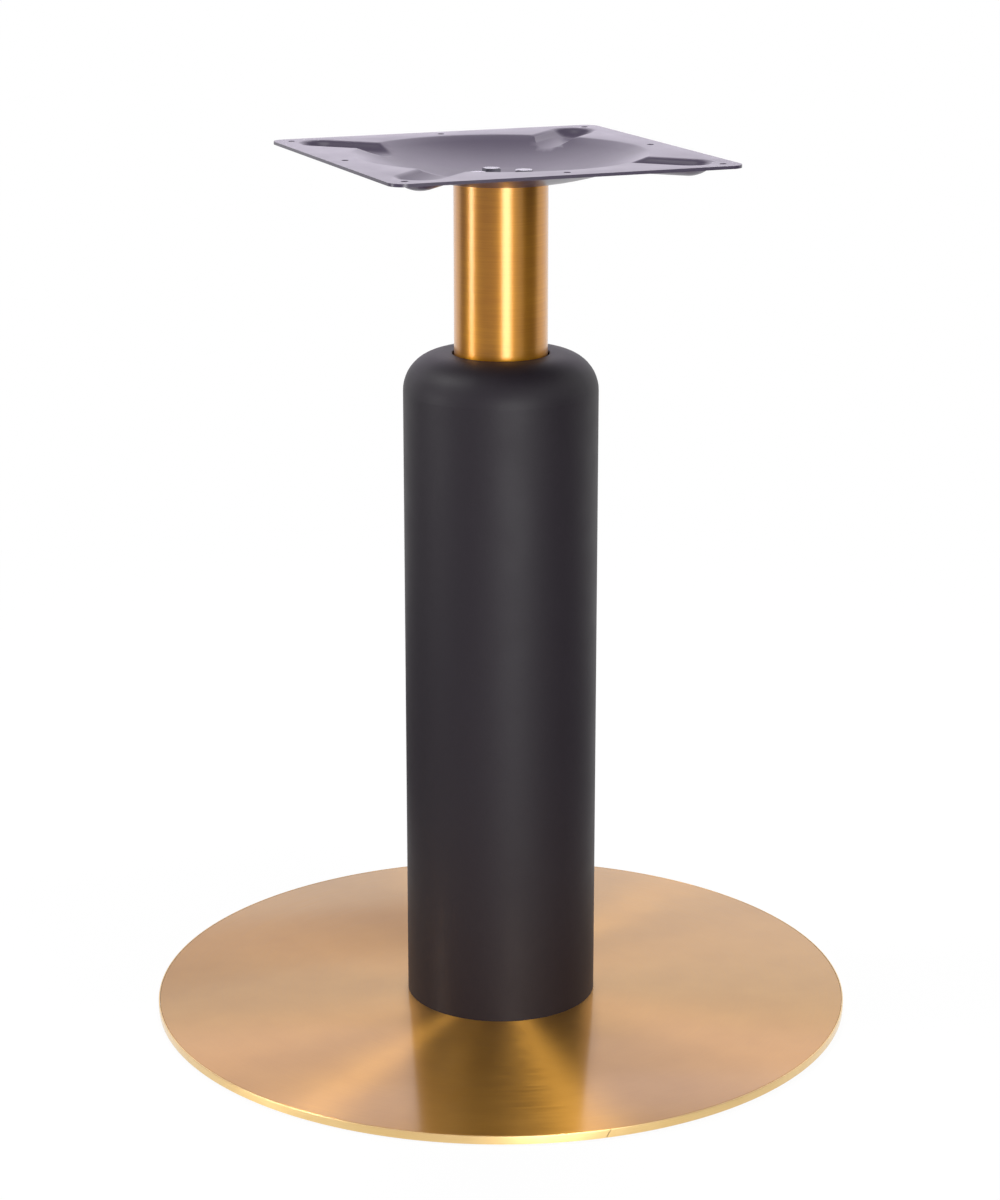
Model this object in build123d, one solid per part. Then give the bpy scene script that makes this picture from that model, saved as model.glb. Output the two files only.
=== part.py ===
from build123d import *
import math
import os

# Pedestal table base: a round weighted floor base with a brushed brass face, a brass tube as the column,
# a black sleeve with a rounded shoulder round it, and a pressed square plate that carries the table top.
# Millimetres, +Z up. The origin is on the floor, at the middle of the base. The plate's sides lie along X and Y.

# Overall height, from the floor to the upper face of the plate's rim
total_height = 720.0

# Floor base: steel plate, brass-finish sheet on it, thin trim strip round both
base_diameter = 585.0
base_plate_thickness = 5.5
base_sheet_thickness = 1.0
sheet_edge_radius = 0.5
trim_thickness = 1.0
trim_corner_radius = 0.5
trim_fit_clearance = 0.2
trim_seam_gap = 0.5
trim_seam_azimuth = -96.0
trim_seam_slant = 30.0

# Pads under the base plate
pad_thickness = 1.0
pad_diameter = 38.0
pad_count = 6
pad_edge_inset = 14.0

# Column tube, with a flange at its foot and a threaded disc in its top
tube_diameter = 76.0
tube_wall = 2.0
foot_thickness = 8.0
foot_socket_depth = 2.0
head_thickness = 14.0
weld_fit_clearance = 0.1

# Countersunk screws from below, through plate and sheet into the column foot
base_screw_diameter = 8.0
base_screw_head_diameter = 16.0
base_screw_length = 13.0
base_screw_count = 4
base_screw_circle = 116.0
base_screw_socket = 5.0
base_screw_socket_depth = 2.8
countersink_angle = 90.0
countersink_sink = 0.3

# Black sleeve round the column, and the length of tube left bare above it
bare_tube_length = 138.5
sleeve_diameter = 159.0
sleeve_wall = 2.0
sleeve_shoulder_radius = 31.0
sleeve_foot_clearance = 0.3
sleeve_hole_gap = 1.5
sleeve_hole_edge_radius = 0.8

# Pressed top plate: flat rim, round dish with a flat seat over the tube, channels towards the corner holes
plate_side = 290.0
plate_sheet = 2.5
plate_corner_radius = 12.0
rim_width = 27.0
rim_hole_diameter = 5.8
rim_hole_inset = 14.0
dish_depth = 20.0
dish_seat_margin = 6.0
channel_width = 36.0
channel_depth = 8.0
channel_hole_land = 10.3
press_rounding = 9.0

# Hex bolts that hold the plate to the column head
bolt_diameter = 8.0
bolt_head_flats = 13.0
bolt_head_height = 5.3
bolt_length = 16.0
bolt_circle = 40.0
bolt_count = 4
bolt_chamfer_angle = 30.0

# Room round the shank in a plain hole and in a thread
hole_clearance = 0.5
thread_clearance = 0.1

# Heights and radii that follow from the sizes above
base_bottom = pad_thickness
sheet_bottom = base_bottom + base_plate_thickness
base_top = sheet_bottom + base_sheet_thickness
base_core_radius = base_diameter / 2 - trim_thickness - trim_fit_clearance
foot_top = base_top + foot_thickness
tube_radius = tube_diameter / 2
tube_bottom = foot_top - foot_socket_depth
rim_bottom = total_height - plate_sheet
dish_floor = total_height - dish_depth
column_top = dish_floor - plate_sheet
sleeve_top = column_top - bare_tube_length
sleeve_radius = sleeve_diameter / 2
sleeve_inner_radius = sleeve_radius - sleeve_wall
rim_hole_offset = plate_side / 2 - rim_hole_inset
corner_hole_radius = math.hypot(rim_hole_offset, rim_hole_offset)

# Directions from the column's axis to the middles of the plate's sides and to its corners
side_angles = (0.0, 90.0, 180.0, 270.0)
corner_angles = (45.0, 135.0, 225.0, 315.0)

STANDING = (Align.CENTER, Align.CENTER, Align.MIN)
HANGING = (Align.CENTER, Align.CENTER, Align.MAX)


def disc(radius, bottom, top):
    """Upright round solid between two heights."""
    return Pos(0, 0, bottom) * Cylinder(radius, top - bottom, align=STANDING)


def placed(shape, angles, radius):
    """Copies of a shape at some directions and one distance from the column's axis."""
    return [Rot(0, 0, angle) * Pos(radius, 0, 0) * shape for angle in angles]


def around(shape, count, radius):
    """Copies of a shape spread evenly on a circle about the column's axis."""
    return placed(shape, [360.0 * i / count for i in range(count)], radius)


def group(shapes):
    """Like fasteners as separate solids in one piece."""
    return Compound([shape.solid() for shape in shapes])


def hexagon(flats):
    """Flat hexagon of a given width across flats."""
    return RegularPolygon(flats / 2, 6, major_radius=False)


def cone_height(wide_radius, narrow_radius):
    """Height of a countersunk cone between two radii."""
    return (wide_radius - narrow_radius) / math.tan(math.radians(countersink_angle / 2))


def base_plate():
    """Heavy steel disc with countersunk screw holes from below."""
    hole_radius = base_screw_diameter / 2 + hole_clearance
    mouth_radius = base_screw_head_diameter / 2 + countersink_sink + thread_clearance
    mouth = Cone(mouth_radius, hole_radius, cone_height(mouth_radius, hole_radius), align=STANDING)
    screw_hole = Pos(0, 0, base_bottom) * mouth + disc(hole_radius, base_bottom, sheet_bottom)
    plate = disc(base_core_radius, base_bottom, sheet_bottom)
    return plate - around(screw_hole, base_screw_count, base_screw_circle / 2)


def base_sheet():
    """Brass-finish sheet that covers the plate, its upper edge eased, with clearance holes for the screws."""
    sheet = disc(base_core_radius, sheet_bottom, base_top)
    sheet = fillet(sheet.edges().group_by(Axis.Z)[-1], sheet_edge_radius)
    hole = disc(base_screw_diameter / 2 + hole_clearance, sheet_bottom, base_top)
    return sheet - around(hole, base_screw_count, base_screw_circle / 2)


def edge_trim():
    """Strip rolled into a ring round the base, its upper outer corner eased, its ends cut aslant at one seam."""
    outer_radius = base_diameter / 2
    ring = disc(outer_radius, base_bottom, base_top) - disc(outer_radius - trim_thickness, base_bottom, base_top)
    outer_edge = ring.edges().group_by(Axis.Z)[-1].sort_by(SortBy.RADIUS)[-1]
    ring = fillet(outer_edge, trim_corner_radius)
    seam = Box(base_diameter, trim_seam_gap, 2 * base_top, align=(Align.MIN, Align.CENTER, Align.CENTER))
    seam = Pos(0, 0, (base_bottom + base_top) / 2) * Rot(-trim_seam_slant, 0, 0) * seam
    return ring - Rot(0, 0, trim_seam_azimuth) * seam


def floor_pads():
    """Thin round pads near the edge of the base plate."""
    pad = disc(pad_diameter / 2, 0, pad_thickness)
    return around(pad, pad_count, base_core_radius - pad_edge_inset - pad_diameter / 2)


def base_screws():
    """Countersunk screws with a hexagon socket, heads just inside the base plate."""
    head_bottom = base_bottom + countersink_sink
    head_radius = base_screw_head_diameter / 2
    shank_radius = base_screw_diameter / 2
    head = Cone(head_radius, shank_radius, cone_height(head_radius, shank_radius), align=STANDING)
    socket = extrude(hexagon(base_screw_socket), base_screw_socket_depth)
    screw = Pos(0, 0, head_bottom) * (head + disc(shank_radius, 0, base_screw_length) - socket)
    return group(around(screw, base_screw_count, base_screw_circle / 2))


def column_foot():
    """Flange under the tube: a socket locates the tube, its edge centres the sleeve."""
    flange = disc(sleeve_inner_radius - sleeve_foot_clearance, base_top, foot_top)
    socket = disc(tube_radius + weld_fit_clearance, tube_bottom, foot_top)
    thread = disc(base_screw_diameter / 2 + thread_clearance, base_top, foot_top)
    return flange - socket - around(thread, base_screw_count, base_screw_circle / 2)


def column_tube():
    """Brass-finish tube from the foot's socket up to the plate."""
    return disc(tube_radius, tube_bottom, column_top) - disc(tube_radius - tube_wall, tube_bottom, column_top)


def column_head():
    """Disc in the top of the tube with threaded holes for the plate bolts."""
    bottom = column_top - head_thickness
    insert = disc(tube_radius - tube_wall - weld_fit_clearance, bottom, column_top)
    thread = disc(bolt_diameter / 2 + thread_clearance, bottom, column_top)
    return insert - around(thread, bolt_count, bolt_circle / 2)


def sleeve():
    """Spun cover that stands on the base: straight wall, rounded shoulder, flat ring round the tube's hole."""
    outside = disc(sleeve_radius, base_top, sleeve_top)
    outside = fillet(outside.edges().group_by(Axis.Z)[-1], sleeve_shoulder_radius)
    inside = disc(sleeve_inner_radius, base_top, sleeve_top - sleeve_wall)
    inside = fillet(inside.edges().group_by(Axis.Z)[-1], sleeve_shoulder_radius - sleeve_wall)
    cover = outside - inside - disc(tube_radius + sleeve_hole_gap, base_top, sleeve_top)
    hole_edge = cover.edges().group_by(Axis.Z)[-1].sort_by(SortBy.RADIUS)[0]
    return fillet(hole_edge, sleeve_hole_edge_radius)


def dish_form(growth):
    """Shallow round bowl, part of a ball, with a flat floor; grown outwards by the sheet for its lower face."""
    lip_radius = plate_side / 2 - rim_width
    seat_radius = tube_radius + dish_seat_margin
    rise = (lip_radius**2 - seat_radius**2 - dish_depth**2) / (2 * dish_depth)
    ball_radius = math.hypot(lip_radius, rise) + growth
    ball = Pos(0, 0, total_height + rise) * Rot(0, 0, corner_angles[0]) * Sphere(ball_radius)
    return ball & disc(plate_side, dish_floor - growth, total_height)


def channel_form(growth):
    """Round-bottomed groove along X with a ball-shaped outer end, grown like the dish."""
    half_width = channel_width / 2
    rise = (half_width**2 - channel_depth**2) / (2 * channel_depth)
    groove_radius = math.hypot(half_width, rise) + growth
    run = corner_hole_radius - channel_hole_land - half_width
    bar = Rot(0, 90, 0) * Cylinder(groove_radius, run, align=STANDING)
    groove = Pos(0, 0, rise) * (bar + Pos(run, 0, 0) * Sphere(groove_radius))
    below_rim = Box(2 * plate_side, 2 * plate_side, plate_side, align=HANGING)
    return Pos(0, 0, total_height) * (groove & below_rim)


def pressing(growth):
    """Dish and diagonal channels as one form: growth 0 gives the upper face, the sheet's thickness the lower."""
    return dish_form(growth) + placed(channel_form(growth), corner_angles, 0)


def round_pressing(blank, face_height, radius):
    """Rounds one face of the pressed blank: the lips of dish and channels, and the ridges between them."""
    lips = blank.edges().filter_by_position(Axis.Z, face_height, face_height).sort_by(SortBy.LENGTH)[:-1]
    ridge_height = face_height - channel_depth
    curves = blank.edges().filter_by(GeomType.BSPLINE)
    ridges = [curve for curve in curves if abs((curve @ 0.5).Z - ridge_height) < plate_sheet / 2]
    return fillet([*lips, *ridges], radius)


def top_plate():
    """Sheet pressed into a dish with channels, then cut square and drilled for table top and column."""
    blank = disc(plate_side, rim_bottom, total_height) + pressing(plate_sheet) - pressing(0)
    blank = round_pressing(blank, total_height, press_rounding)
    blank = round_pressing(blank, rim_bottom, press_rounding - plate_sheet)
    square = RectangleRounded(plate_side, plate_side, plate_corner_radius)
    plate = blank & Pos(0, 0, column_top) * extrude(square, total_height - column_top)
    screw_hole = disc(rim_hole_diameter / 2, rim_bottom, total_height)
    bolt_hole = disc(bolt_diameter / 2 + hole_clearance, column_top, dish_floor)
    plate -= placed(screw_hole, side_angles, rim_hole_offset)
    plate -= placed(screw_hole, corner_angles, corner_hole_radius)
    return plate - around(bolt_hole, bolt_count, bolt_circle / 2)


def plate_bolts():
    """Hex bolts through the plate into the column head, the corners of each head chamfered on top."""
    flat_radius = bolt_head_flats / 2
    skirt_radius = flat_radius + bolt_head_height / math.tan(math.radians(bolt_chamfer_angle))
    head = extrude(hexagon(bolt_head_flats), bolt_head_height)
    head &= Cone(skirt_radius, flat_radius, bolt_head_height, align=STANDING)
    bolt = Pos(0, 0, dish_floor) * (head + disc(bolt_diameter / 2, -bolt_length, 0))
    return group(around(bolt, bolt_count, bolt_circle / 2))


pieces = {
    "base_plate": base_plate(),
    "base_sheet": base_sheet(),
    "edge_trim": edge_trim(),
    "base_screws": base_screws(),
    "column_foot": column_foot(),
    "column_tube": column_tube(),
    "column_head": column_head(),
    "sleeve": sleeve(),
    "top_plate": top_plate(),
    "plate_bolts": plate_bolts(),
}
for number, pad in enumerate(floor_pads(), start=1):
    pieces[f"floor_pad_{number}"] = pad

os.makedirs("parts", exist_ok=True)
for name, piece in pieces.items():
    export_step(piece, f"parts/{name}.step")
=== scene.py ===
# %% [markdown]
# Brass pedestal table base.
# A round floor disc faced in brushed brass, a brass tube as the column, a black sleeve round the tube,
# and a pressed grey plate on top that a table top is screwed to.
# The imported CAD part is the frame: every solid already stands in its place, in metres, with +Z up.
# This lesson dresses it: first the finishes, then three round pieces and the pressed plate,
# which gain from finer modelling, and last the camera and the studio.

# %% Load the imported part
import math
import bpy
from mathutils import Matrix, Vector


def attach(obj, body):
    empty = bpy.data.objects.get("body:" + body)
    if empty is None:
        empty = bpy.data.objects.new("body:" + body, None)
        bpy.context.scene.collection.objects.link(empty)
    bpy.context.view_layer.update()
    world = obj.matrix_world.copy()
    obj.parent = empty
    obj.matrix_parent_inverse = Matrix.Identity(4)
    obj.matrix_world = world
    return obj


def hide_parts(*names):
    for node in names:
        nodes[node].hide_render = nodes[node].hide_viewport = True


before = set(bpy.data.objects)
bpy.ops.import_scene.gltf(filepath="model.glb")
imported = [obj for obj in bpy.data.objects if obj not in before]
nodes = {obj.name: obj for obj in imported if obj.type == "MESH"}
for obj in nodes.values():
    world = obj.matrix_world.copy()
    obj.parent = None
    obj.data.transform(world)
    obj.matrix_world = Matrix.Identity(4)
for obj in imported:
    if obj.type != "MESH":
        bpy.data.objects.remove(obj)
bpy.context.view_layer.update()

# %% [markdown]
# A few helpers carry all the finishes.
# Colours are picked as sRGB hex codes, the way a colour picker shows them, but shaders work in linear light,
# so one function converts them.
# Another adds one shader node, sets its options and fills its sockets:
# a plain value is set, an output is linked.

# %% Helpers for colours and shader nodes
def tint(code):
    """Linear colour of an sRGB hex code such as "C89A4B"."""
    parts = [int(code[i:i + 2], 16) / 255 for i in (0, 2, 4)]
    linear = [part / 12.92 if part <= 0.04045 else ((part + 0.055) / 1.055) ** 2.4 for part in parts]
    return (*linear, 1.0)


def fill(tree, node, inputs):
    """Fills the sockets of a node: an output of another node is linked, anything else is set."""
    for socket, value in inputs.items():
        if isinstance(value, bpy.types.NodeSocket):
            tree.links.new(value, node.inputs[socket])
        else:
            node.inputs[socket].default_value = value


def add(tree, kind, inputs=None, **settings):
    """One shader node with its settings and sockets."""
    node = tree.nodes.new(kind)
    for name, value in settings.items():
        setattr(node, name, value)
    fill(tree, node, inputs or {})
    return node


def start_finish(name):
    """New material; returns it with its node tree, its shader and the place on the object."""
    finish = bpy.data.materials.new(name)
    finish.use_nodes = True
    tree = finish.node_tree
    place = add(tree, "ShaderNodeTexCoord").outputs["Object"]
    return finish, tree, tree.nodes["Principled BSDF"], place


print("brass as a linear colour:", [round(part, 3) for part in tint("C99545")])

# %% [markdown]
# The face of the floor disc is brushed brass under clear lacquer.
# The real sheet is turned on a spindle against an abrasive belt, so its scratches run in circles.
# Light then smears across the scratches and stays sharp along them:
# the sleeve's reflection keeps crisp sides, and bright streaks run from the centre to the rim.
# An anisotropic metal does that when its tangent points away from the centre.
# The lacquer adds a white share at flat angles, which turns the gold into the tan that the eye sees.

# %% Brushed brass of the disc
disc_brass, tree, shader, place = start_finish("brushed brass sheet")
flat = add(tree, "ShaderNodeVectorMath", {0: place, 1: (1.0, 1.0, 0.0)}, operation="MULTIPLY").outputs[0]
outward = add(tree, "ShaderNodeVectorMath", {0: flat}, operation="NORMALIZE").outputs[0]
radius = add(tree, "ShaderNodeVectorMath", {0: flat}, operation="LENGTH").outputs["Value"]

# Scratches about 0.3 mm apart in life, drawn 1.2 mm apart so that they show, each a short arc of the circle
disc_spacing = 0.0012
disc_arcs = 6.0
lines = add(tree, "ShaderNodeMath", {0: radius, 1: 1.0 / disc_spacing}, operation="MULTIPLY").outputs[0]
arcs = add(tree, "ShaderNodeVectorMath", {0: outward, 3: disc_arcs}, operation="SCALE").outputs[0]
split = add(tree, "ShaderNodeSeparateXYZ", {0: arcs})
along = add(tree, "ShaderNodeCombineXYZ", {0: split.outputs[0], 1: split.outputs[1], 2: lines}).outputs[0]
scratches = add(tree, "ShaderNodeTexNoise", {"Vector": along, "Scale": 1.0, "Detail": 2.0}).outputs["Fac"]

# Cloudy marks about 40 mm across, where the belt pressed harder
cloud_size = 0.04
clouds = add(tree, "ShaderNodeTexNoise", {"Vector": place, "Scale": 1.0 / cloud_size, "Detail": 4.0})
marks = {0: 0.6, 2: scratches, 3: clouds.outputs["Fac"]}
worn = add(tree, "ShaderNodeMix", marks, data_type="FLOAT").outputs[0]
shade = add(tree, "ShaderNodeMapRange", {"Value": worn, 1: 0.35, 2: 0.65}).outputs[0]
colour = add(tree, "ShaderNodeMix", {0: shade, 6: tint("BC8735"), 7: tint("C48F3C")}, data_type="RGBA")

# The scratches alone shift the roughness, since cloudy roughness would blot the sleeve's reflection
dullness = add(tree, "ShaderNodeMapRange", {"Value": scratches, 1: 0.3, 2: 0.7, 3: 0.31, 4: 0.37}).outputs[0]
grooves = add(tree, "ShaderNodeBump", {"Height": scratches, "Strength": 0.05, "Distance": 0.0004}).outputs[0]
fill(tree, shader, {"Base Color": colour.outputs[2], "Metallic": 1.0, "Roughness": dullness,
                    "Anisotropic": 0.95, "Tangent": outward, "Normal": grooves,
                    "Coat Weight": 1.0, "Coat Roughness": 0.12})
print("disc finish nodes:", len(tree.nodes))

# %% [markdown]
# The column tube is brass too, but it was brushed while it turned in a lathe, so its scratches run round it.
# Light smears up and down, and the lamps show as upright stripes.
# The trim strip was drawn through a die, so its scratches run along it, which is round the disc.
# It takes the same kind of finish with an upright tangent, in a paler brass.

# %% Brushed brass of tube and trim
# Scratches about 40 mm long, and cloudy marks about 30 mm across
scratch_length = 0.04
mark_size = 0.03


def ring_brushed(name, spacing, colours, dulls, stretch, lacquer):
    """Brass with scratches that run round the upright axis."""
    finish, tree, shader, place = start_finish(name)
    stretched = (1.0 / scratch_length, 1.0 / scratch_length, 1.0 / spacing)
    round_it = add(tree, "ShaderNodeMapping", {"Vector": place, "Scale": stretched}).outputs[0]
    noise = add(tree, "ShaderNodeTexNoise", {"Vector": round_it, "Scale": 1.0, "Detail": 2.0})
    scratches = noise.outputs["Fac"]
    noise = add(tree, "ShaderNodeTexNoise", {"Vector": place, "Scale": 1.0 / mark_size, "Detail": 3.0})
    clouds = noise.outputs["Fac"]
    worn = add(tree, "ShaderNodeMix", {0: 0.5, 2: scratches, 3: clouds}, data_type="FLOAT").outputs[0]
    dullness = add(tree, "ShaderNodeMapRange", {"Value": worn, 1: 0.3, 2: 0.7, 3: dulls[0], 4: dulls[1]})
    shade = add(tree, "ShaderNodeMapRange", {"Value": worn, 1: 0.35, 2: 0.65}).outputs[0]
    tones = {0: shade, 6: tint(colours[0]), 7: tint(colours[1])}
    colour = add(tree, "ShaderNodeMix", tones, data_type="RGBA").outputs[2]
    upright = add(tree, "ShaderNodeCombineXYZ", {0: 0.0, 1: 0.0, 2: 1.0}).outputs[0]
    grooves = add(tree, "ShaderNodeBump", {"Height": scratches, "Strength": 0.03, "Distance": 0.0004})
    fill(tree, shader, {"Base Color": colour, "Metallic": 1.0, "Roughness": dullness.outputs[0],
                        "Anisotropic": stretch, "Tangent": upright, "Normal": grooves.outputs[0],
                        "Coat Weight": 1.0, "Coat Roughness": lacquer})
    return finish


# Deep gold between two bright stripes.
# Its scratches are about 0.3 mm apart in life, and drawn 1.1 mm apart so that they show.
tube_brass = ring_brushed("brushed brass tube", spacing=0.0011, colours=("C6831A", "D59420"),
                          dulls=(0.41, 0.48), stretch=0.74, lacquer=0.22)

# A pale bright line round the disc
trim_brass = ring_brushed("drawn bright brass strip", spacing=0.0004, colours=("E6C07A", "F0CE8C"),
                          dulls=(0.36, 0.44), stretch=0.8, lacquer=0.2)
print("brushed round the axis:", tube_brass.name, "and", trim_brass.name)

# %% [markdown]
# All other surfaces have a fine even grain: powder coat melts into a film with a slight orange peel,
# zinc plate is a little frosted, mill scale clouds bare steel, paint and rubber are matt.
# One recipe serves them, with its own grain size, colours, roughness and depth for each material.

# %% Powder coat, steel, paint and rubber
def grained(name, grain, colours, dulls, depth, metal, gloss=0.5):
    """Finish with a fine grain in colour and relief, and clouds 20 grains wide in roughness."""
    finish, tree, shader, place = start_finish(name)
    noise = add(tree, "ShaderNodeTexNoise", {"Vector": place, "Scale": 1.0 / grain, "Detail": 2.0})
    peel = noise.outputs["Fac"]
    noise = add(tree, "ShaderNodeTexNoise", {"Vector": place, "Scale": 0.05 / grain, "Detail": 3.0})
    clouds = noise.outputs["Fac"]
    dullness = add(tree, "ShaderNodeMapRange", {"Value": clouds, 1: 0.15, 2: 0.85, 3: dulls[0], 4: dulls[1]})
    tones = {0: peel, 6: tint(colours[0]), 7: tint(colours[1])}
    colour = add(tree, "ShaderNodeMix", tones, data_type="RGBA").outputs[2]
    relief = add(tree, "ShaderNodeBump", {"Height": peel, "Strength": depth, "Distance": 0.0004}).outputs[0]
    fill(tree, shader, {"Base Color": colour, "Metallic": metal, "Roughness": dullness.outputs[0],
                        "Normal": relief, "Specular IOR Level": gloss})
    return finish


# The sleeve's broad soft highlight, and the plate's satin sheen that turns pale at flat angles
black_coat = grained("satin black powder coat", grain=0.0016, colours=("150E17", "1B141D"),
                     dulls=(0.50, 0.58), depth=0.10, metal=0.0, gloss=0.42)
grey_coat = grained("satin grey powder coat", grain=0.0016, colours=("3A3244", "433B4D"),
                    dulls=(0.27, 0.33), depth=0.03, metal=0.0)

# Bright bolt heads, dull cut steel, and the dark weight and pads that only show from below
zinc_steel = grained("bright zinc plated steel", grain=0.003, colours=("A9AAAE", "BBBCC0"),
                     dulls=(0.18, 0.30), depth=0.05, metal=1.0)
bare_steel = grained("mill finish steel", grain=0.012, colours=("8A8A8D", "A4A4A7"),
                     dulls=(0.35, 0.55), depth=0.08, metal=1.0)
black_paint = grained("black paint on steel", grain=0.004, colours=("1F1F20", "282829"),
                      dulls=(0.40, 0.55), depth=0.10, metal=0.0)
pad_rubber = grained("moulded black rubber", grain=0.0012, colours=("202021", "2B2B2C"),
                     dulls=(0.65, 0.85), depth=0.15, metal=0.0)

finishes = {
    "base_plate": black_paint,
    "base_sheet": disc_brass,
    "edge_trim": trim_brass,
    "base_screws": zinc_steel,
    "column_foot": bare_steel,
    "column_tube": tube_brass,
    "column_head": bare_steel,
    "sleeve": black_coat,
    "top_plate": grey_coat,
    "plate_bolts": zinc_steel,
}
for name, solid in nodes.items():
    solid.material_slots[0].material = finishes.get(name, pad_rubber)
print("dressed:", sorted(nodes))

# %% [markdown]
# The sheet, the strip and the tube are round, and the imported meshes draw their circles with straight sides.
# Under raking light each corner of such a polygon would sparkle,
# so these three are turned again with many sides.
# Their radii and heights are read from the solids, so they keep the form and the place.
# A pipe could be spun from a profile, but an open cylinder with a wall gives the same with fewer steps.

# %% Helpers for round pieces
# A hair's room, so that rounder circles stay inside the solids' box
box_margin = 0.00001

# Corners closer than this to the outer upper edge belong to it
edge_reach = 0.00001


def round_size(name):
    """Outer radius, smallest radius, foot and top of a round solid about the column's axis."""
    points = [nodes[name].matrix_world @ vertex.co for vertex in nodes[name].data.vertices]
    radii = [point.xy.length for point in points]
    heights = [point.z for point in points]
    return max(radii) - box_margin, min(radii), min(heights), max(heights)


def pick(piece):
    """Makes a piece the only selected and the active object."""
    bpy.ops.object.select_all(action="DESELECT")
    bpy.context.view_layer.objects.active = piece
    piece.select_set(True)


def turned(name, solid, sides, filled):
    """Round bar or open shell with the outer size of a solid, standing on the column's axis."""
    outer, inner, foot, top = round_size(solid)
    bpy.ops.object.select_all(action="DESELECT")
    bpy.ops.mesh.primitive_cylinder_add(vertices=sides, radius=outer, depth=top - foot,
                                        end_fill_type="NGON" if filled else "NOTHING",
                                        location=(0.0, 0.0, (foot + top) / 2))
    piece = bpy.context.object
    piece.name = name
    bpy.ops.object.transform_apply(location=True)
    if not filled:
        wall = piece.modifiers.new("wall", "SOLIDIFY")
        wall.thickness = outer - inner
        wall.offset = -1.0
        wall.use_even_offset = True
        bpy.ops.object.modifier_apply(modifier=wall.name)
    return piece


def ease_upper_edge(piece, ease):
    """Rounds the outer upper edge of a turned piece."""
    corners = piece.data.vertices
    outer = max(corner.co.xy.length for corner in corners)
    top = max(corner.co.z for corner in corners)
    bpy.context.tool_settings.mesh_select_mode = (False, True, False)
    bpy.ops.object.mode_set(mode="EDIT")
    bpy.ops.mesh.select_all(action="DESELECT")
    bpy.ops.object.mode_set(mode="OBJECT")
    for edge in piece.data.edges:
        ends = [corners[i].co for i in edge.vertices]
        edge.select = all(outer - end.xy.length < edge_reach and top - end.z < edge_reach for end in ends)
    bpy.ops.object.mode_set(mode="EDIT")
    bpy.ops.mesh.bevel(offset=ease, segments=4)
    bpy.ops.object.mode_set(mode="OBJECT")


def cut(piece, tool):
    """Takes the form of a tool out of a piece and removes the tool."""
    pick(piece)
    hollow = piece.modifiers.new("cut", "BOOLEAN")
    hollow.operation = "DIFFERENCE"
    hollow.solver = "EXACT"
    hollow.object = tool
    bpy.ops.object.modifier_apply(modifier=hollow.name)
    bpy.data.objects.remove(tool, do_unlink=True)


def hand_over(piece, solid):
    """Smooths a finished piece, gives it the solid's finish and lets it stand for the solid."""
    pick(piece)
    bpy.ops.object.shade_smooth_by_angle(angle=math.radians(30.0))
    piece.data.materials.clear()
    piece.data.materials.append(finishes[solid])
    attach(piece, "root")
    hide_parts(solid)
    print(piece.name, "stands for", solid, "with", len(piece.data.polygons), "faces")


for name in ("base_sheet", "edge_trim", "column_tube"):
    print("outer radius of", name, "in metres:", round(round_size(name)[0], 4))

# %% [markdown]
# The brass face is a sheet 1 mm thick, cut round, its upper edge eased so that it doesn't cut fingers.
# The four screws of the column pass through it under the sleeve.
# It could be spun from a profile, but a low cylinder with one bevelled edge and four drilled holes
# is easier to follow.

# %% Brass face of the disc
disc_sides = 720
edge_ease = 0.0005
screw_hole_radius = 0.0045
screw_circle_radius = 0.058
drill_length = 0.1

brass_face = turned("brass_face", "base_sheet", disc_sides, True)
ease_upper_edge(brass_face, edge_ease)
for quarter in range(4):
    turn = math.radians(90.0 * quarter)
    spot = (screw_circle_radius * math.cos(turn), screw_circle_radius * math.sin(turn), 0.0)
    bpy.ops.mesh.primitive_cylinder_add(vertices=48, radius=screw_hole_radius, depth=drill_length,
                                        location=spot)
    cut(brass_face, bpy.context.object)
hand_over(brass_face, "base_sheet")

# %% [markdown]
# The trim is a thin strip bent round the rim. Its two ends meet at the front right, cut a little aslant,
# with a dark hairline between them.
# A strip could be bent along a circle; a shell with the sheet's many sides, cut by a thin slanted block,
# gives the same ring and its seam.

# %% Trim strip
seam_gap = 0.0005
seam_turn = math.radians(-96.0)
seam_slant = math.radians(-30.0)
saw_size = 0.02

trim_strip = turned("trim_strip", "edge_trim", disc_sides, False)
ease_upper_edge(trim_strip, edge_ease)
trim_radius, trim_inner, trim_foot, trim_top = round_size("edge_trim")
seam_height = (trim_foot + trim_top) / 2
seam_place = (trim_radius * math.cos(seam_turn), trim_radius * math.sin(seam_turn), seam_height)
bpy.ops.mesh.primitive_cube_add(size=saw_size, location=seam_place, rotation=(seam_slant, 0.0, seam_turn))
saw = bpy.context.object
saw.scale = (1.0, seam_gap / saw_size, 1.0)
cut(trim_strip, saw)
hand_over(trim_strip, "edge_trim")

# %% [markdown]
# The column is a plain tube, cut square at both ends.
# It could be lathed or extruded, but the same turned shell serves: many sides keep its stripes of light
# straight and its outline round where it meets the sleeve's hole.

# %% Column tube
tube_sides = 256

bare_tube = turned("bare_tube", "column_tube", tube_sides, False)
hand_over(bare_tube, "column_tube")

# %% [markdown]
# The plate was pressed from one sheet, so light rolls over its folds without a break.
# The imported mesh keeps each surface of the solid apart, and every border between two of them
# would show as a crease.
# The plate could be modelled anew, but a copy with its borders merged shades as one skin
# and keeps its shape.

# %% Pressed plate
border_gap = 0.000002

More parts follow.
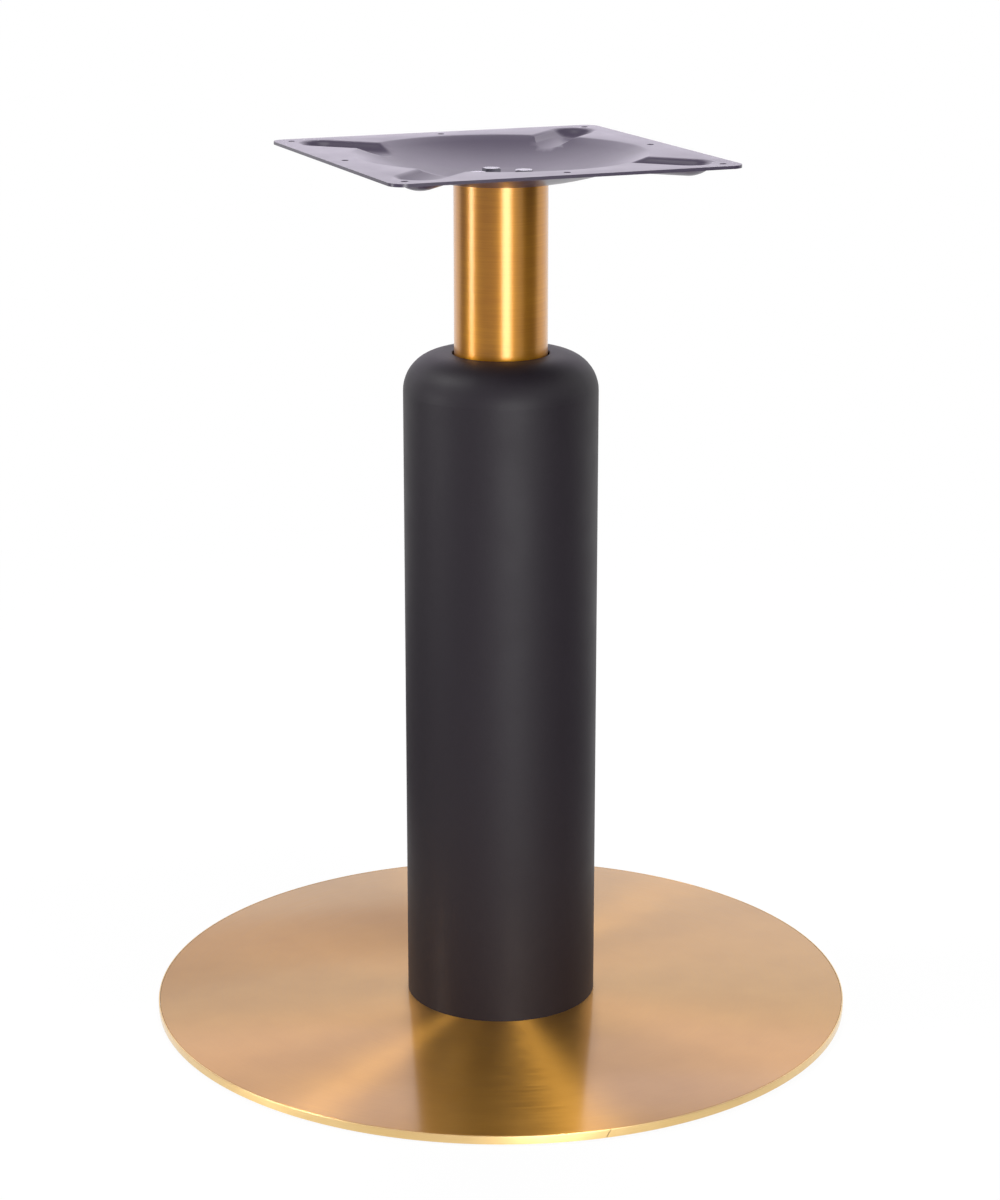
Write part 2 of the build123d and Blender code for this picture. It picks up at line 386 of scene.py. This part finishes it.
pressed_plate = bpy.data.objects.new("pressed_plate", nodes["top_plate"].data.copy())
bpy.context.scene.collection.objects.link(pressed_plate)
pressed_plate.matrix_world = nodes["top_plate"].matrix_world
pick(pressed_plate)
bpy.ops.object.transform_apply(location=True, rotation=True, scale=True)
bpy.ops.mesh.customdata_custom_splitnormals_clear()
bpy.ops.object.mode_set(mode="EDIT")
bpy.ops.mesh.select_all(action="SELECT")
bpy.ops.mesh.remove_doubles(threshold=border_gap)
bpy.ops.mesh.normals_make_consistent(inside=False)
bpy.ops.object.mode_set(mode="OBJECT")
hand_over(pressed_plate, "top_plate")

# %% [markdown]
# The camera stands where the photographer stood: a little above the plate, 2.3 m from the column,
# looking down at 16 degrees through a long lens. The plate shows turned by 22 degrees.

# %% Camera
eye = Vector((-0.8853, -2.1423, 1.0107))
look_down = 15.897
look_aside = -22.435
lens_length = 87.30
picture_height = 36.0

lens = bpy.data.cameras.new("studio_camera")
lens.sensor_fit = "VERTICAL"
lens.sensor_height = picture_height
lens.lens = lens_length
camera = bpy.data.objects.new("studio_camera", lens)
bpy.context.scene.collection.objects.link(camera)
camera.location = eye
camera.rotation_euler = (math.radians(90.0 - look_down), 0.0, math.radians(look_aside))
bpy.context.scene.camera = camera
print("camera distance from the column in metres:", round(eye.xy.length, 3))

# %% [markdown]
# The studio is set out from the camera: an angle to its right as seen from above, a distance and a height.

# %% Places in the studio
towards_camera = Vector((eye.x, eye.y, 0.0)).normalized()
to_the_right = Vector((-towards_camera.y, towards_camera.x, 0.0))


def studio(angle, distance, height):
    """Place at an angle to the right of the camera, a distance from the column and a height."""
    turn = math.radians(angle)
    heading = towards_camera * math.cos(turn) + to_the_right * math.sin(turn)
    return heading * distance + Vector((0.0, 0.0, height))


print("to the camera's right:", [round(part, 3) for part in to_the_right])

# %% [markdown]
# The base stands on a sheet of white paper so wide that it fills the picture.
# Camera, mirror and see-through rays meet it as plain white, so the brass shows the picture's own white.
# Close to the base a small share of the lit paper stays in, which keeps a soft shadow.

# %% White paper floor
paper_size = 40.0
paper_height = -0.0003
shadow_reach = 0.4
shadow_end = 1.6
plain_share = 0.95

bpy.ops.object.select_all(action="DESELECT")
bpy.ops.mesh.primitive_plane_add(size=paper_size, location=(0.0, 0.0, paper_height))
floor = bpy.context.object
floor.name = "floor"
paper, tree, shader, place = start_finish("white paper")
fill(tree, shader, {"Base Color": (0.85, 0.85, 0.85, 1.0), "Roughness": 0.9, "Specular IOR Level": 0.1})


def watched(tree):
    """1 for rays from the camera, from a mirror or through glass, 0 for the light that falls on things."""
    rays = add(tree, "ShaderNodeLightPath").outputs
    mirror_rays = {0: rays["Is Glossy Ray"], 1: rays["Is Transmission Ray"]}
    mirror = add(tree, "ShaderNodeMath", mirror_rays, operation="MAXIMUM").outputs[0]
    return add(tree, "ShaderNodeMath", {0: rays["Is Camera Ray"], 1: mirror}, operation="MAXIMUM").outputs[0]


glow = add(tree, "ShaderNodeEmission", {"Color": (1.0, 1.0, 1.0, 1.0), "Strength": 1.0})
reach = add(tree, "ShaderNodeVectorMath", {0: place}, operation="LENGTH").outputs["Value"]
fade = {"Value": reach, 1: shadow_reach, 2: shadow_end, 3: plain_share, 4: 1.0}
plain = add(tree, "ShaderNodeMapRange", fade)
share = add(tree, "ShaderNodeMath", {0: watched(tree), 1: plain.outputs[0]}, operation="MULTIPLY")
seen = add(tree, "ShaderNodeMixShader", {0: share.outputs[0], 1: shader.outputs[0], 2: glow.outputs[0]})
tree.links.new(seen.outputs[0], tree.nodes["Material Output"].inputs["Surface"])
floor.data.materials.append(paper)
print("floor laid:", floor.name)

# %% [markdown]
# The air of the studio is white to look at and dim as a light, so that the lamps shape the object.

# %% World
dim_air = 0.15
white_air = 1.0

world = bpy.data.worlds.new("studio_air")
bpy.context.scene.world = world
world.use_nodes = True
tree = world.node_tree
level = add(tree, "ShaderNodeMapRange", {"Value": watched(tree), 3: dim_air, 4: white_air})
fill(tree, tree.nodes["Background"], {"Color": (1.0, 1.0, 1.0, 1.0), "Strength": level.outputs[0]})
print("world:", world.name)

# %% [markdown]
# Softboxes do the work. A low strip in front and one on the left draw the two stripes on the tube;
# they stay low so that the plate's channels keep their dark walls.
# Two small boxes overhead draw the streaks on the disc, and a wide dim one between them lifts the dark zone
# in front of the sleeve.
# A wide lamp behind lights the plate's rim. It is kept out of the reflections,
# where it would burn out the brass.

# %% Lamps
def lamp(name, angle, distance, height, width, tall, power, aim):
    """Softbox at a place in the studio that faces the column at the height it aims at."""
    light = bpy.data.lights.new(name, "AREA")
    light.shape = "RECTANGLE"
    light.size = width
    light.size_y = tall
    light.energy = power
    box = bpy.data.objects.new(name, light)
    bpy.context.scene.collection.objects.link(box)
    box.location = studio(angle, distance, height)
    box.visible_camera = False
    box.rotation_euler = (Vector((0.0, 0.0, aim)) - box.location).to_track_quat("-Z", "Y").to_euler()
    return box


lamp("front_strip", angle=13.5, distance=2.0, height=0.42, width=0.70, tall=0.76, power=18.5, aim=0.42)
lamp("left_strip", angle=-75.0, distance=1.7, height=0.52, width=0.32, tall=0.56, power=5.8, aim=0.46)
lamp("top_left_box", angle=-88.0, distance=1.9, height=2.6, width=0.44, tall=0.44, power=28.0, aim=0.0)
lamp("top_right_box", angle=58.0, distance=0.84, height=2.6, width=0.50, tall=0.30, power=27.0, aim=0.0)
lamp("top_box", angle=-90.0, distance=0.35, height=2.6, width=1.0, tall=1.0, power=9.0, aim=0.0)
back_key = lamp("back_key", angle=180.0, distance=2.2, height=2.0, width=1.0, tall=0.6, power=60.0, aim=0.7)
back_key.visible_glossy = False

# %% [markdown]
# Polished metal is only as good as what it mirrors, and only reflections see these cards.
# Grey cards stand in front, at both sides and overhead, and grey mats lie in front and at both sides,
# where the photographer's room was darker: the tube and the sleeve mirror them.
# A pale band hangs close behind and gives the plate's rim its sheen.
# Two cards stand far behind, a dim low one and a bright high one, and the disc mirrors them.

# %% Cards that only show in reflections
card_white = tint("FAF3FF")
band_white = tint("F8F0FF")


def card(name, angle, distance, height, width, tall, level, aim, cast=card_white):
    """Flat card that faces a height on the column's axis; a far height lays it flat."""
    bpy.ops.object.select_all(action="DESELECT")
    place = studio(angle, distance, height)
    turn = (Vector((0.0, 0.0, aim)) - place).to_track_quat("Z", "Y").to_euler()
    bpy.ops.mesh.primitive_plane_add(size=1.0, location=place, rotation=turn)
    panel = bpy.context.object
    panel.name = name
    panel.scale = (width, tall, 1.0)
    bpy.ops.object.transform_apply(location=True, rotation=True, scale=True)
    felt = bpy.data.materials.new(name + " felt")
    felt.use_nodes = True
    tree = felt.node_tree
    grey = add(tree, "ShaderNodeEmission", {"Color": cast, "Strength": level})
    tree.links.new(grey.outputs[0], tree.nodes["Material Output"].inputs["Surface"])
    panel.data.materials.append(felt)
    panel.visible_camera = False
    panel.visible_diffuse = False
    panel.visible_shadow = False
    return panel


lying = 5000.0
cards = [
    card("front_card", angle=-20.0, distance=3.2, height=1.7, width=5.6, tall=4.0, level=0.66, aim=1.7),
    card("left_card", angle=-98.0, distance=3.2, height=1.7, width=1.9, tall=4.0, level=0.36, aim=1.7),
    card("right_card", angle=75.5, distance=2.8, height=0.6, width=2.2, tall=1.2, level=0.13, aim=0.6),
    card("ceiling_card", angle=180.0, distance=0.4, height=3.4, width=6.0, tall=5.0, level=0.36, aim=0.0),
    card("back_band", angle=192.0, distance=0.97, height=0.85, width=2.0, tall=0.16, level=2.05, aim=0.85,
         cast=band_white),
    card("back_shade", angle=201.0, distance=3.64, height=1.23, width=2.5, tall=0.50, level=0.62, aim=1.23),
    card("back_upper", angle=180.0, distance=3.4, height=2.55, width=5.0, tall=1.5, level=1.45, aim=2.55),
    card("front_mat", angle=-20.0, distance=1.865, height=0.01, width=5.0, tall=3.07, level=0.58, aim=lying),
    card("right_mat", angle=75.5, distance=1.765, height=0.012, width=1.5, tall=2.87, level=0.18, aim=lying),
    card("left_mat", angle=-100.0, distance=1.84, height=0.012, width=1.6, tall=3.02, level=0.14, aim=lying),
]
print("cards:", [panel.name for panel in cards])

# %% [markdown]
# The picture is shown as it is measured, without a film look.

# %% View settings
bpy.context.scene.view_settings.view_transform = "Standard"
